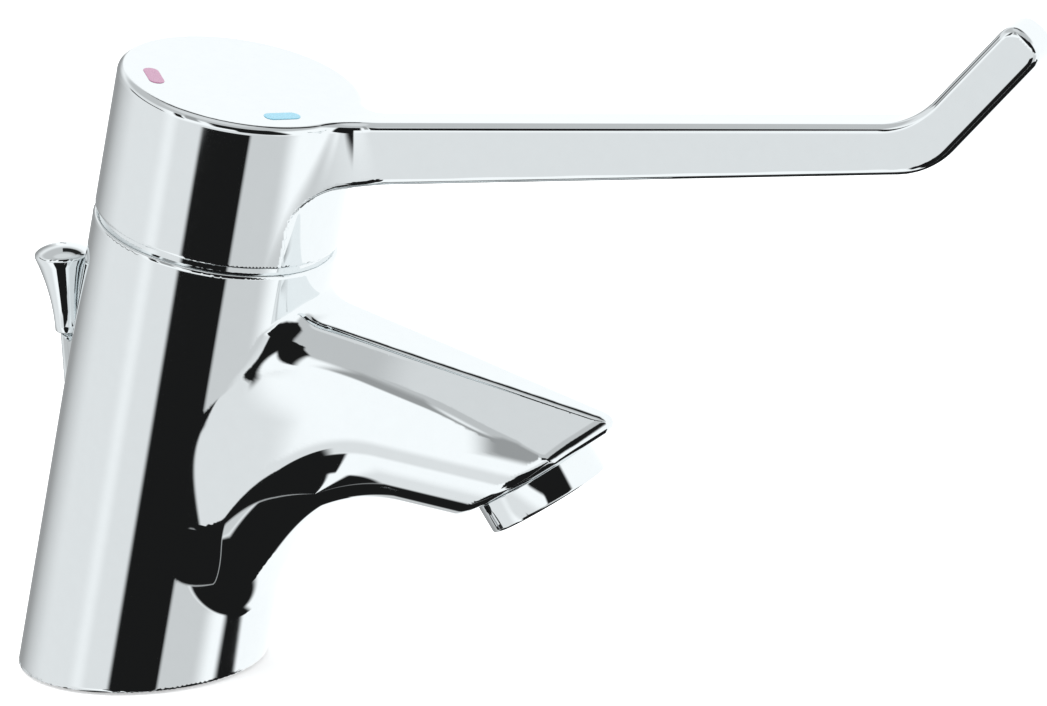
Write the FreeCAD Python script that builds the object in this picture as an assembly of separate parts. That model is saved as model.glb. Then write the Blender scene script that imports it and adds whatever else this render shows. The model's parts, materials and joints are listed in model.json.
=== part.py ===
import FreeCAD, Part
import math
import os

from FreeCAD import Vector

os.makedirs("parts", exist_ok=True)

# All lengths are in millimetres and all angles in degrees.
# The origin is the centre of the base on the deck, +Z is up and +X points along the spout.
# The column, the cap and the cartridge lie along an axis that leans towards the spout.
# "Height" of a leaning piece is measured along that axis, from the origin.

# Leaning column
LEAN = 14.2
BODY_R = 27.0
SEAM_H = 103.3
SEAM_ROUND = 0.7
BASE_ROUND = 0.6

# Cap and its top
RING_H = 1.4
CAP_GAP = 0.2
CAP_INSET = 0.1
CAP_WALL = 3.5
CAP_HEIGHT = 32.7
CAP_ROOF = 8.0

# Lever arm, drawn in the symmetry plane
ARM_WIDTH = 10.5
ARM_START_X = 60.0
ARM_TOP_Z = 126.5
ARM_TOP_RISE = 2.85
ARM_DEPTH = 14.1
ARM_UNDER_RISE = 4.2
ARM_BEND_X = 189.5
ARM_BEND_R = 19.0
ARM_UNDER_BEND_R = 20.0
TIP_RISE = 45.5
TIP_REACH = 261.4
TIP_DEPTH = 10.2
TIP_ROUND = 4.8
DISC_BLEND_R = 45.0
ARM_ROUND = 1.3

# Root of the arm, where it flares down the cap's front
ROOT_BLEND_TOP = 6.0
ROOT_BLEND_LOW = 20.0
ROOT_FOOT_IN = 4.9
ROOT_CURVE_R = 9.0

# Coloured marks
MARK_LENGTH = 8.6
MARK_WIDTH = 3.5
MARK_DEPTH = 1.2
MARK_INSET = 7.3
MARK_TURN = 51.5
MARK_FIT = 0.05

# Spout
SPOUT_TOP_X = 95.0
SPOUT_TOP_Z = 68.9
SPOUT_FALL = 17.3
SPOUT_FLAT_X = 60.0
SPOUT_FLAT = 7.8
SPOUT_FLAT_TAPER = 0.11
SPOUT_FACET_SIDE = 13.3
SPOUT_FACET_DROP = 6.4
SPOUT_HALF_WIDTH = 15.6
SPOUT_UNDER_X = 78.0
SPOUT_UNDER_Z = 39.3
SPOUT_UNDER_RISE = 9.4
SPOUT_ROOT_X = 25.0
SPOUT_FLARE_X = 58.0
SPOUT_FLARE_SIDE = 5.5
SPOUT_FLARE_LOW = 22.0
SPOUT_END_X = 128.0
SPOUT_BLEND_R = 7.0
SPOUT_LIP_ROUND = 2.6

# Outlet
OUTLET_X = 96.9
OUTLET_Z = 48.7
OUTLET_TILT = 29.9
AERATOR_R = 14.0
AERATOR_RING = 6.9
AERATOR_THREAD_R = 12.0
AERATOR_THREAD = 6.3
AERATOR_BORE_R = 10.6
AERATOR_LIP_R = 9.8
AERATOR_LIP = 0.9
AERATOR_CHAMBER = 12.0
AERATOR_CHAMBER_R = 9.5
AERATOR_EDGE = 0.6
WASHER_T = 1.5
JET_HOLE_R = 0.75
JET_PITCH = 2.6
JET_RINGS = 3
JET_PLATE_T = 3.5
JET_FIT = 0.05
SCREEN_T = 0.5
SCREEN_DOME = 2.0
SCREEN_RIM = 1.5
SCREEN_HOLE_R = 0.6
THREAD_FIT = 0.05
WATERWAY_R = 5.0

# Cartridge
SEAT_DEPTH = 37.3
CART_R = 17.5
CART_FIT = 0.15
PORT_R = 3.6
PORT_BACK = 6.5
PORT_SIDE = 7.0
PORT_FRONT = 8.0
PORT_DEPTH = 8.0
SEAL_WIDTH = 1.3
SEAL_T = 1.2
SEAL_PROUD = 0.3
SEAL_FIT = 0.05
CART_BASE_T = 7.0
DISC_R = 15.0
DISC_T = 3.0
MOVING_DISC_R = 13.5
MOVING_DISC_T = 4.0
MIXING_X = 2.5
MIXING_R = 8.0
MIXING_DEPTH = 2.0
DISC_FILM = 0.05
CARRIER_T = 4.5
CARRIER_PEG_R = 1.2
CARRIER_PEG_RING = 11.8
CARRIER_PEG_DEPTH = 2.0
CARRIER_PEG_FIT = 0.05
TENON_LENGTH = 14.0
TENON_WIDTH = 5.0
TENON_DEPTH = 3.0
TENON_FIT = 0.1
FLANGE_R = 12.0
FLANGE_T = 2.6
FLANGE_PLAY = 0.3
HOUSING_TOP_T = 3.6
HOUSING_WALL = 2.3
NECK_R = 11.0
NECK_LENGTH = 13.25
STEM_R = 7.0
STEM_RUN = 0.06
CLIP_T = 1.0
CLIP_GROOVE = 0.9
CLIP_R = 9.2
CLIP_GAP = 5.0
CLIP_FIT = 0.05
SPLINE_BELOW_HUB = 2.3
SPLINE_GRIP = 13.2
SPLINE_TIP_R = 5.6
SPLINE_ROOT_R = 4.9
SPLINE_TEETH = 20
SPLINE_FIT = 0.06
ORING_WIRE_R = 0.9
ORING_RUN = 0.03
ORING_UP = 5.65
ORING_FIT = 0.1

# Dark ring between body and cap
TRIM_RING_INSET = 1.1
TRIM_RING_WIDTH = 4.3

# Ring nut over the cartridge
NUT_THREAD_R = 19.5
NUT_HEX_T = 4.1
NUT_FLATS = 34.0
NUT_BORE_R = 11.4

# Handle hub
HUB_R = 12.5
HUB_GAP = 1.4
ADAPTOR_R = 8.6
ADAPTOR_FIT = 0.05
ADAPTOR_ROOF = 1.0
SCREW_UP = 8.2
SCREW_R = 2.5
SCREW_LENGTH = 7.0
SCREW_HEX_R = 1.35
SCREW_HEX_DEPTH = 2.6
SCREW_BITE = 0.7
SCREW_FIT = 0.05
PLUG_R = 3.2
PLUG_T = 3.0
PLUG_FIT = 0.02

# Base
POCKET_R = 22.4
POCKET_H = 34.0
HOSE_PORT_X = -3.0
HOSE_PORT_Y = 8.5
HOSE_PORT_R = 4.5
HOSE_PORT_DEPTH = 12.0
INLET_R = 3.2
INLET_DEEP = 4.0
STUD_X = 13.0
STUD_R = 4.0
STUD_DEPTH = 12.0
STUD_END_Z = -48.0
GASKET_R = 25.0
GASKET_WIDTH = 2.0
GASKET_T = 1.6
GASKET_FIT = 0.05
DECK_GAP = 25.0
CLAMP_R = 24.0
CLAMP_SLOT_Y = 15.5
CLAMP_SLOT_X = 5.0
CLAMP_RUBBER_T = 3.0
CLAMP_PLATE_T = 3.0
CLAMP_HOLE_FIT = 0.4
WASHER_R = 8.0
STUD_WASHER_T = 1.6
STUD_NUT_FLATS = 13.0
STUD_NUT_T = 6.5

# Lift rod, shown at its lowest
ROD_INSET = 14.7
ROD_R = 1.8
ROD_HOLE_FIT = 0.4
ROD_END_Z = -60.0
KNOB_LOW_Z = 74.2
KNOB_LOW_R = 2.9
KNOB_TOP_R = 6.2
KNOB_RIM_Z = 91.4
KNOB_TOP_Z = 94.2
KNOB_WAIST = 0.9
KNOB_RIM = 0.8
KNOB_SOCKET = 9.0
GUIDE_R = 3.4
GUIDE_T = 6.0
GUIDE_FIT = 0.02
GUIDE_RUN = 0.06
GUIDE_RELIEF = 6.0

# Sizes that follow from those above
CAP_R = BODY_R - CAP_INSET
ROD_X = ROD_INSET - BODY_R
SEAT_H = SEAM_H - SEAT_DEPTH
CAP_LOW_H = SEAM_H + RING_H + CAP_GAP
CAP_TOP_H = CAP_LOW_H + CAP_HEIGHT
ROOF_H = CAP_TOP_H - CAP_ROOF
BASE_H = SEAT_H + SEAL_PROUD
FIXED_DISC_H = BASE_H + CART_BASE_T
MOVING_DISC_H = FIXED_DISC_H + DISC_T + DISC_FILM
CARRIER_H = MOVING_DISC_H + MOVING_DISC_T
FLANGE_H = CARRIER_H + CARRIER_T
HOUSING_ROOF_H = FLANGE_H + FLANGE_T + FLANGE_PLAY
SHOULDER_H = HOUSING_ROOF_H + HOUSING_TOP_T
NECK_TOP_H = SHOULDER_H + NECK_LENGTH
ORING_H = SHOULDER_H + ORING_UP
NUT_TOP_H = SEAM_H + NUT_HEX_T
HUB_LOW_H = NUT_TOP_H + HUB_GAP
SCREW_H = HUB_LOW_H + SCREW_UP
SPLINE_LOW_H = HUB_LOW_H - SPLINE_BELOW_HUB
SPLINE_TOP_H = HUB_LOW_H + SPLINE_GRIP
ADAPTOR_TOP_H = SPLINE_TOP_H + ADAPTOR_ROOF
AERATOR_SEAT = AERATOR_THREAD + WASHER_T
PLUG_LOW_R = CAP_R - PLUG_T
ROOT_FOOT_R = CAP_R - ROOT_FOOT_IN
MARK_RING_R = CAP_R - MARK_INSET
TRIM_RING_R = CAP_R - TRIM_RING_INSET
TRIM_RING_BORE_R = TRIM_RING_R - TRIM_RING_WIDTH
BIG = 400.0
SHARP_ANGLE = 12.0

UP = Vector(0, 0, 1)
ORIGIN = Vector(0, 0, 0)


def tan(angle):
    return math.tan(math.radians(angle))


def cos(angle):
    return math.cos(math.radians(angle))


def sin(angle):
    return math.sin(math.radians(angle))


def leaned(shape):
    """Turns a shape drawn about +Z so that it lies about the column's axis."""
    copy = shape.copy()
    copy.rotate(ORIGIN, Vector(0, 1, 0), LEAN)
    return copy


def at_outlet(shape):
    """Places a shape drawn about +Z on the outlet, where +Z becomes the way the water leaves."""
    copy = shape.copy()
    copy.rotate(ORIGIN, Vector(0, 1, 0), 180.0 - OUTLET_TILT)
    copy.translate(Vector(OUTLET_X, 0, OUTLET_Z))
    return copy


def cylinder(radius, low, high, x=0.0, y=0.0):
    return Part.makeCylinder(radius, high - low, Vector(x, y, low), UP)


def tube(outer, inner, low, high, x=0.0, y=0.0):
    return cylinder(outer, low, high, x, y).cut(cylinder(inner, low - 1.0, high + 1.0, x, y))


def prism(points, low, high):
    """A straight prism along Z over a closed polygon of (x, y) corners."""
    corners = [Vector(x, y, low) for x, y in points]
    face = Part.Face(Part.makePolygon(corners + corners[:1]))
    return face.extrude(Vector(0, 0, high - low))


def hexagon(flats, low, high, x=0.0, y=0.0):
    reach = flats / 2.0 / cos(30.0)
    corners = [(x + reach * cos(60.0 * i), y + reach * sin(60.0 * i)) for i in range(6)]
    return prism(corners, low, high)


def turned(edges):
    """A solid of revolution about Z from edges that close an outline in the XZ plane."""
    return Part.Face(Part.Wire(edges)).revolve(ORIGIN, UP, 360)


def line(a, b):
    return Part.LineSegment(Vector(a[0], 0, a[1]), Vector(b[0], 0, b[1])).toShape()


def arc(a, b, c):
    return Part.Arc(Vector(a[0], 0, a[1]), Vector(b[0], 0, b[1]), Vector(c[0], 0, c[1])).toShape()


def rounded_wire(corners):
    """A closed outline in the XZ plane from (x, z, corner radius), with arcs at the corners."""
    count = len(corners)
    edges = []
    first = None
    last = None
    for i in range(count):
        before = Vector(corners[i - 1][0], 0, corners[i - 1][1])
        here = Vector(corners[i][0], 0, corners[i][1])
        after = Vector(corners[(i + 1) % count][0], 0, corners[(i + 1) % count][1])
        radius = corners[i][2]
        if radius > 0:
            back = (before - here).normalize()
            ahead = (after - here).normalize()
            half = back.getAngle(ahead) / 2.0
            reach = radius / math.tan(half)
            start = here + back * reach
            end = here + ahead * reach
            middle = here + (back + ahead).normalize() * (radius / math.sin(half) - radius)
        else:
            start = end = here
        if last is not None:
            edges.append(Part.LineSegment(last, start).toShape())
        if radius > 0:
            edges.append(Part.Arc(start, middle, end).toShape())
        if first is None:
            first = start
        last = end
    edges.append(Part.LineSegment(last, first).toShape())
    return Part.Wire(edges)


def slab(wire, half_width):
    """The outline's face, thickened to both sides of the symmetry plane."""
    face = Part.Face(wire)
    face.translate(Vector(0, -half_width, 0))
    return face.extrude(Vector(0, 2.0 * half_width, 0))


def circular_edges(shape, radius, height):
    """The edges that are circles of this radius about Z at this height."""
    found = []
    for edge in shape.Edges:
        curve = edge.Curve
        if not isinstance(curve, Part.Circle):
            continue
        if abs(curve.Radius - radius) < 1e-4 and abs(curve.Center.z - height) < 1e-4:
            found.append(edge)
    return found


def sharp_edges(shape):
    """The edges where two faces meet at an angle."""
    found = []
    for edge in shape.Edges:
        middle = edge.valueAt((edge.FirstParameter + edge.LastParameter) / 2.0)
        normals = []
        for face in shape.ancestorsOfType(edge, Part.Face):
            u, v = face.Surface.parameter(middle)
            normals.append(face.normalAt(u, v))
        if len(normals) == 2 and math.degrees(normals[0].getAngle(normals[1])) > SHARP_ANGLE:
            found.append(edge)
    return found


def runs_on(edge, point, normal):
    """Whether the edge lies in the plane through a point."""
    return all(abs((place - point).dot(normal)) < 1e-3 for place in edge.discretize(5))


def near_half(shape):
    """The half of a shape on the +Y side of the symmetry plane."""
    return shape.cut(Part.makeBox(2 * BIG, BIG, 2 * BIG, Vector(-BIG, -BIG, -BIG)))


def with_mirror(half):
    """The half shape joined with its mirror image."""
    return half.fuse(half.mirror(ORIGIN, Vector(0, 1, 0))).Solids[0]


def tilted(forward, height):
    """Where a point of the leaning frame's symmetry plane lies, as (x, z)."""
    x = forward * cos(LEAN) + height * sin(LEAN)
    z = height * cos(LEAN) - forward * sin(LEAN)
    return x, z


def crossing(a, rise_a, b, rise_b):
    """Where two lines meet, each given by a point (x, z) and its rise in degrees."""
    x = (b[1] - a[1] + a[0] * tan(rise_a) - b[0] * tan(rise_b)) / (tan(rise_a) - tan(rise_b))
    return x, a[1] + (x - a[0]) * tan(rise_a)


def rod_between(radius, start, end):
    way = end - start
    return Part.makeCylinder(radius, way.Length, start, way)


def spout_section(x):
    """A closed smooth outline across the spout: a narrow flat top over a wider rounded belly."""
    flare = (max(SPOUT_FLARE_X - x, 0.0) / (SPOUT_FLARE_X - SPOUT_ROOT_X)) ** 2
    top = SPOUT_TOP_Z - (x - SPOUT_TOP_X) * tan(SPOUT_FALL)
    low = SPOUT_UNDER_Z - (x - SPOUT_UNDER_X) * tan(SPOUT_UNDER_RISE) - SPOUT_FLARE_LOW * flare
    wide = SPOUT_HALF_WIDTH + SPOUT_FLARE_SIDE * flare
    flat = SPOUT_FLAT - (x - SPOUT_FLAT_X) * SPOUT_FLAT_TAPER
    facet = SPOUT_FACET_SIDE + 0.5 * SPOUT_FLARE_SIDE * flare
    belly = low + SPOUT_HALF_WIDTH
    rise = top - belly
    half = [
        (0.45 * flat, top),
        (flat, top),
        (flat + 0.35 * (facet - flat), top - 0.35 * SPOUT_FACET_DROP),
        (facet + 0.3, top - SPOUT_FACET_DROP),
        (wide + 0.3, belly + 0.25 * rise),
        (wide + 0.3, belly - 0.55 * SPOUT_HALF_WIDTH),
        (0.55 * wide, low),
    ]
    poles = [Vector(x, y, z) for y, z in half] + [Vector(x, -y, z) for y, z in reversed(half)]
    curve = Part.BSplineCurve()
    curve.buildFromPoles(poles, True, 3)
    return Part.Wire(curve.toShape())


def build_spout():
    """The spout on its own, from inside the column to the outlet's face."""
    root = [SPOUT_ROOT_X + (SPOUT_FLARE_X - SPOUT_ROOT_X) * i / 3 for i in range(4)]
    straight = [SPOUT_FLARE_X + (SPOUT_END_X - SPOUT_FLARE_X) * i / 3 for i in range(1, 4)]
    spout = Part.makeLoft([spout_section(x) for x in root + straight], True, False)
    return spout.cut(at_outlet(Part.makeBox(BIG, BIG, BIG, Vector(-BIG / 2, -BIG / 2, 0))))


def build_body():
    """Column and spout in one casting, with its bores, ports and threads."""
    axis = Vector(sin(LEAN), 0, cos(LEAN))
    column = leaned(cylinder(BODY_R, -POCKET_H, SEAM_H))
    column = column.cut(Part.makeBox(BIG, BIG, BIG, Vector(-BIG / 2, -BIG / 2, -BIG)))
    half = near_half(column.fuse(build_spout()))
    outlet = Vector(OUTLET_X, 0, OUTLET_Z)
    outward = Vector(sin(OUTLET_TILT), 0, -cos(OUTLET_TILT))
    seam = axis * SEAM_H
    sharp = [e for e in sharp_edges(half) if not runs_on(e, ORIGIN, Vector(0, 1, 0))]
    junction = []
    for edge in sharp:
        outer = (runs_on(edge, ORIGIN, UP), runs_on(edge, seam, axis), runs_on(edge, outlet, outward))
        if not any(outer):
            junction.append(edge)
    half = half.makeFillet(SPOUT_BLEND_R, junction)
    sharp = [e for e in sharp_edges(half) if not runs_on(e, ORIGIN, Vector(0, 1, 0))]
    half = half.makeFillet(SPOUT_LIP_ROUND, [e for e in sharp if runs_on(e, outlet, outward)])
    sharp = [e for e in sharp_edges(half) if not runs_on(e, ORIGIN, Vector(0, 1, 0))]
    half = half.makeFillet(SEAM_ROUND, [e for e in sharp if runs_on(e, seam, axis)])
    sharp = [e for e in sharp_edges(half) if not runs_on(e, ORIGIN, Vector(0, 1, 0))]
    half = half.makeFillet(BASE_ROUND, [e for e in sharp if runs_on(e, ORIGIN, UP)])

    bores = [
        leaned(cylinder(NUT_THREAD_R + THREAD_FIT, SHOULDER_H - 1.0, SEAM_H + 1.0)),
        leaned(cylinder(CART_R + CART_FIT, SEAT_H, SHOULDER_H)),
    ]
    for x, y in port_places():
        bores.append(leaned(cylinder(PORT_R, SEAT_H - PORT_DEPTH, SEAT_H + 1.0, x, y)))
    pocket = leaned(cylinder(POCKET_R, -POCKET_H, 2 * POCKET_H))
    bores.append(pocket.common(Part.makeBox(BIG, BIG, POCKET_H + 1.0, Vector(-BIG / 2, -BIG / 2, -1.0))))
    hose_top = POCKET_H + HOSE_PORT_DEPTH
    for side in (-1, 1):
        x, z = tilted(-PORT_BACK, SEAT_H - INLET_DEEP)
        bores.append(cylinder(HOSE_PORT_R, 0.0, hose_top, HOSE_PORT_X, side * HOSE_PORT_Y))
        start = Vector(HOSE_PORT_X, side * HOSE_PORT_Y, hose_top - INLET_R)
        bores.append(rod_between(INLET_R, start, Vector(x, side * PORT_SIDE, z)))
    bores.append(cylinder(STUD_R + THREAD_FIT, 0.0, POCKET_H + STUD_DEPTH, STUD_X))
    bores.append(cylinder(ROD_R + ROD_HOLE_FIT, 0.0, SEAM_H, ROD_X))
    bores.append(cylinder(GUIDE_R + GUIDE_FIT, POCKET_H - GUIDE_RELIEF, POCKET_H + GUIDE_T, ROD_X))
    x, z = tilted(PORT_FRONT, SEAT_H - PORT_DEPTH)
    end = outlet - outward * (AERATOR_CHAMBER - 1.0)
    bores.append(rod_between(WATERWAY_R, Vector(x, 0, z), end))
    bores.append(Part.makeSphere(WATERWAY_R, Vector(x, 0, z)))
    bores.append(at_outlet(cylinder(AERATOR_THREAD_R + THREAD_FIT, -AERATOR_SEAT, 1.0)))
    bores.append(at_outlet(cylinder(AERATOR_CHAMBER_R, -AERATOR_CHAMBER, 0.0)))
    bores.append(tube(GASKET_R + GASKET_WIDTH / 2 + GASKET_FIT, GASKET_R - GASKET_WIDTH / 2 - GASKET_FIT,
                      -1.0, GASKET_T))
    return with_mirror(half.cut(bores[0].multiFuse(bores[1:])))


def port_places():
    """Two inlets at the back and the outlet in front, in the leaning frame."""
    return [(-PORT_BACK, -PORT_SIDE), (-PORT_BACK, PORT_SIDE), (PORT_FRONT, 0.0)]


def arm_corners():
    """Corners of the disc's top and the arm in side view, from the disc forward."""
    top_left = (ARM_START_X, ARM_TOP_Z)
    low_left = (ARM_START_X, ARM_TOP_Z - ARM_DEPTH)
    disc = crossing(tilted(0.0, CAP_TOP_H), -LEAN, top_left, ARM_TOP_RISE)
    bend = (ARM_BEND_X, ARM_TOP_Z + (ARM_BEND_X - ARM_START_X) * tan(ARM_TOP_RISE))
    reach = TIP_REACH - bend[0] * cos(TIP_RISE) - bend[1] * sin(TIP_RISE)
    tip = (bend[0] + reach * cos(TIP_RISE), bend[1] + reach * sin(TIP_RISE))
    tip_low = (tip[0] + TIP_DEPTH * sin(TIP_RISE), tip[1] - TIP_DEPTH * cos(TIP_RISE))
    under_bend = crossing(low_left, ARM_UNDER_RISE, tip_low, TIP_RISE)
    foot = tilted(ROOT_FOOT_R, CAP_LOW_H)
    root = crossing(low_left, ARM_UNDER_RISE, foot, 90.0 - LEAN)
    return disc, bend, tip, tip_low, under_bend, root


def root_outline(blend, height):
    """Plan of the arm's root in the leaning frame: hollow sides that meet the cap at a tangent."""
    half = ARM_WIDTH / 2.0
    centre_x = math.sqrt((CAP_R + blend) ** 2 - (half + blend) ** 2)
    angle = math.degrees(math.atan2(half + blend, centre_x))
    touch = (CAP_R * cos(angle), CAP_R * sin(angle))
    turn = (180.0 + angle + 270.0) / 2.0
    middle = (centre_x + blend * cos(turn), half + blend + blend * sin(turn))
    far = CAP_R + ROOT_BLEND_LOW
    points = [Vector(touch[0], touch[1], height), Vector(centre_x, half, height),
              Vector(far, half, height), Vector(far, 0, height), Vector(0, 0, height),
              Vector(0, touch[1], height)]
    edges = [Part.Arc(points[0], Vector(middle[0], middle[1], height), points[1]).toShape()]
    for i in range(1, len(points)):
        edges.append(Part.LineSegment(points[i], points[(i + 1) % len(points)]).toShape())
    return Part.Wire(edges)


def build_lever_shell():
    """Cap and arm without the cavity, one half joined with its mirror image."""
    disc, bend, tip, tip_low, under_bend, root = arm_corners()
    back = tilted(-BODY_R - CAP_R, CAP_TOP_H)
    beyond = (tip[0] + BIG * cos(TIP_RISE), tip[1] + BIG * sin(TIP_RISE))
    below = slab(rounded_wire([
        (back[0], back[1], 0), (disc[0], disc[1], DISC_BLEND_R), (bend[0], bend[1], ARM_BEND_R),
        (beyond[0], beyond[1], 0), (beyond[0], 0, 0), (back[0], 0, 0),
    ]), BODY_R + CAP_R)
    inside_top = tilted(0.0, CAP_TOP_H)
    inside_low = tilted(0.0, CAP_LOW_H - CAP_WALL)
    foot = tilted(ROOT_FOOT_R, CAP_LOW_H - CAP_WALL)
    side = rounded_wire([
        (inside_top[0], inside_top[1], 0), (disc[0], disc[1], DISC_BLEND_R),
        (bend[0], bend[1], ARM_BEND_R), (tip[0], tip[1], TIP_ROUND), (tip_low[0], tip_low[1], TIP_ROUND),
        (under_bend[0], under_bend[1], ARM_UNDER_BEND_R), (root[0], root[1], ROOT_CURVE_R),
        (foot[0], foot[1], 0), (inside_low[0], inside_low[1], 0),
    ])
    cap = near_half(leaned(cylinder(CAP_R, CAP_LOW_H, CAP_TOP_H + CAP_R)).common(below))
    flare = Part.makeLoft([root_outline(ROOT_BLEND_LOW, CAP_LOW_H - CAP_WALL),
                           root_outline(ROOT_BLEND_TOP, CAP_TOP_H + CAP_WALL)], True, True)
    flare = leaned(flare).common(slab(side, BODY_R))
    low_cut = leaned(cylinder(BIG, CAP_LOW_H - BIG, CAP_LOW_H))
    arm = near_half(slab(side, ARM_WIDTH / 2.0))
    half = cap.fuse(flare.cut(low_cut)).fuse(arm.cut(low_cut)).removeSplitter()
    arm_side = Vector(0, ARM_WIDTH / 2.0, 0)
    edges = [e for e in sharp_edges(half) if runs_on(e, arm_side, Vector(0, 1, 0))]
    return half.makeFillet(ARM_ROUND, edges)


def bar(length, width, low, high):
    """An upright bar with round ends, its length along X."""
    reach = (length - width) / 2.0
    middle = Part.makeBox(2 * reach, width, high - low, Vector(-reach, -width / 2.0, low))
    ends = [cylinder(width / 2.0, low, high, x) for x in (-reach, reach)]
    return middle.multiFuse(ends).removeSplitter()


def mark_shape(side, fit):
    """The inlay's bar in the cap's top, along the rim's direction; a fit widens the pocket."""
    mark = bar(MARK_LENGTH + 2 * fit, MARK_WIDTH + 2 * fit, CAP_TOP_H - MARK_DEPTH, CAP_TOP_H)
    mark.translate(Vector(0, -MARK_RING_R, 0))
    mark.rotate(ORIGIN, UP, side * MARK_TURN)
    return leaned(mark)


def across(radius, start, end, height):
    """A round bar that lies along the back of the leaning frame, from one radius to another."""
    return leaned(Part.makeCylinder(radius, end - start, Vector(-start, 0, height), Vector(-1, 0, 0)))


def build_lever(half):
    """Cap and arm with the cavity, the hub, the adaptor's socket, the screw hole and the pockets."""
    lever = with_mirror(half)
    cavity = cylinder(CAP_R - CAP_WALL, CAP_LOW_H - 1.0, ROOF_H).cut(cylinder(HUB_R, HUB_LOW_H, CAP_TOP_H))
    lever = lever.cut(leaned(cavity))
    lever = lever.cut(leaned(cylinder(ADAPTOR_R + ADAPTOR_FIT, HUB_LOW_H - 1.0, ADAPTOR_TOP_H)))
    lever = lever.cut(across(SCREW_R + SCREW_FIT, ADAPTOR_R - 1.0, HUB_R + 1.0, SCREW_H))
    lever = lever.cut(across(PLUG_R + PLUG_FIT, PLUG_LOW_R - 1.0, CAP_R + 1.0, SCREW_H))
    for side in (-1, 1):
        lever = lever.cut(mark_shape(side, MARK_FIT))
    return lever


def spline(tip, root, low, high):
    """A toothed bar: as many teeth as the spindle has, between a root and a tip radius."""
    points = []
    pitch = 360.0 / SPLINE_TEETH
    for i in range(SPLINE_TEETH):
        for turn, radius in ((-0.35, root), (-0.15, tip), (0.15, tip), (0.35, root)):
            angle = (i + turn) * pitch
            points.append((radius * cos(angle), radius * sin(angle)))
    return prism(points, low, high)


def build_cartridge():
    """The pieces of the cartridge, drawn upright: floor, seals, discs, driver and shell."""
    base = cylinder(CART_R, BASE_H, FIXED_DISC_H)
    fixed = cylinder(DISC_R, FIXED_DISC_H, FIXED_DISC_H + DISC_T)
    seals = []
    for x, y in port_places():
        base = base.cut(cylinder(PORT_R, BASE_H - 1.0, FIXED_DISC_H + 1.0, x, y))
        base = base.cut(cylinder(PORT_R + SEAL_WIDTH + SEAL_FIT, BASE_H - 1.0, SEAT_H + SEAL_T, x, y))
        fixed = fixed.cut(cylinder(PORT_R, FIXED_DISC_H - 1.0, MOVING_DISC_H + 1.0, x, y))
        seals.append(tube(PORT_R + SEAL_WIDTH, PORT_R, SEAT_H, SEAT_H + SEAL_T, x, y))
    moving = cylinder(MOVING_DISC_R, MOVING_DISC_H, CARRIER_H)
    moving = moving.cut(cylinder(MIXING_R, MOVING_DISC_H - 1.0, MOVING_DISC_H + MIXING_DEPTH, MIXING_X))
    carrier = cylinder(MOVING_DISC_R, CARRIER_H, FLANGE_H)
    peg_low = CARRIER_H - CARRIER_PEG_DEPTH
    for side in (-1, 1):
        y = side * CARRIER_PEG_RING
        moving = moving.cut(cylinder(CARRIER_PEG_R + CARRIER_PEG_FIT, peg_low, CARRIER_H + 1.0, 0, y))
        carrier = carrier.fuse(cylinder(CARRIER_PEG_R, peg_low, CARRIER_H, 0, y))
    slot_length = TENON_LENGTH + 2 * TENON_FIT
    slot_width = TENON_WIDTH + 2 * TENON_FIT
    carrier = carrier.cut(bar(slot_length, slot_width, FLANGE_H - TENON_DEPTH, FLANGE_H + 1.0))
    housing = cylinder(CART_R, FIXED_DISC_H, SHOULDER_H).fuse(cylinder(NECK_R, SHOULDER_H, NECK_TOP_H))
    housing = housing.cut(cylinder(CART_R - HOUSING_WALL, FIXED_DISC_H - 1.0, HOUSING_ROOF_H))
    housing = housing.cut(cylinder(STEM_R + STEM_RUN, HOUSING_ROOF_H - 1.0, NECK_TOP_H + 1.0))
    return {
        "cartridge_base": base, "port_seals": Part.makeCompound(seals), "fixed_disc": fixed,
        "moving_disc": moving, "disc_carrier": carrier, "cartridge_housing": housing,
    }


def build_stem():
    """Spindle with its tenon, flange, ring groove, clip groove and splined end."""
    stem = bar(TENON_LENGTH, TENON_WIDTH, FLANGE_H - TENON_DEPTH, FLANGE_H)
    stem = stem.fuse(cylinder(FLANGE_R, FLANGE_H, FLANGE_H + FLANGE_T))
    stem = stem.fuse(cylinder(STEM_R, FLANGE_H, SPLINE_LOW_H))
    stem = stem.fuse(spline(SPLINE_TIP_R, SPLINE_ROOT_R, SPLINE_LOW_H, SPLINE_TOP_H))
    ring_out = STEM_R + STEM_RUN - ORING_RUN
    groove_r = ring_out - 2 * ORING_WIRE_R
    groove_half = ORING_WIRE_R + ORING_FIT
    stem = stem.cut(tube(STEM_R + 1.0, groove_r, ORING_H - groove_half, ORING_H + groove_half))
    stem = stem.cut(tube(STEM_R + 1.0, STEM_R - CLIP_GROOVE, NECK_TOP_H, NECK_TOP_H + CLIP_T))
    oring = Part.makeTorus(ring_out - ORING_WIRE_R, ORING_WIRE_R, Vector(0, 0, ORING_H), UP)
    clip = tube(CLIP_R, STEM_R - CLIP_GROOVE + CLIP_FIT, NECK_TOP_H, NECK_TOP_H + CLIP_T)
    gap = Part.makeBox(CLIP_R, CLIP_GAP, 2 * CLIP_T, Vector(0, -CLIP_GAP / 2.0, NECK_TOP_H - CLIP_T / 2.0))
    return {"stem": stem, "stem_oring": oring, "stem_clip": clip.cut(gap)}


def build_nut():
    """Ring nut: thread below the seam, hexagon above it."""
    nut = cylinder(NUT_THREAD_R, SHOULDER_H, SEAM_H).fuse(hexagon(NUT_FLATS, SEAM_H, NUT_TOP_H))
    return nut.cut(cylinder(NUT_BORE_R, SHOULDER_H - 1.0, NUT_TOP_H + 1.0))


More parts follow.
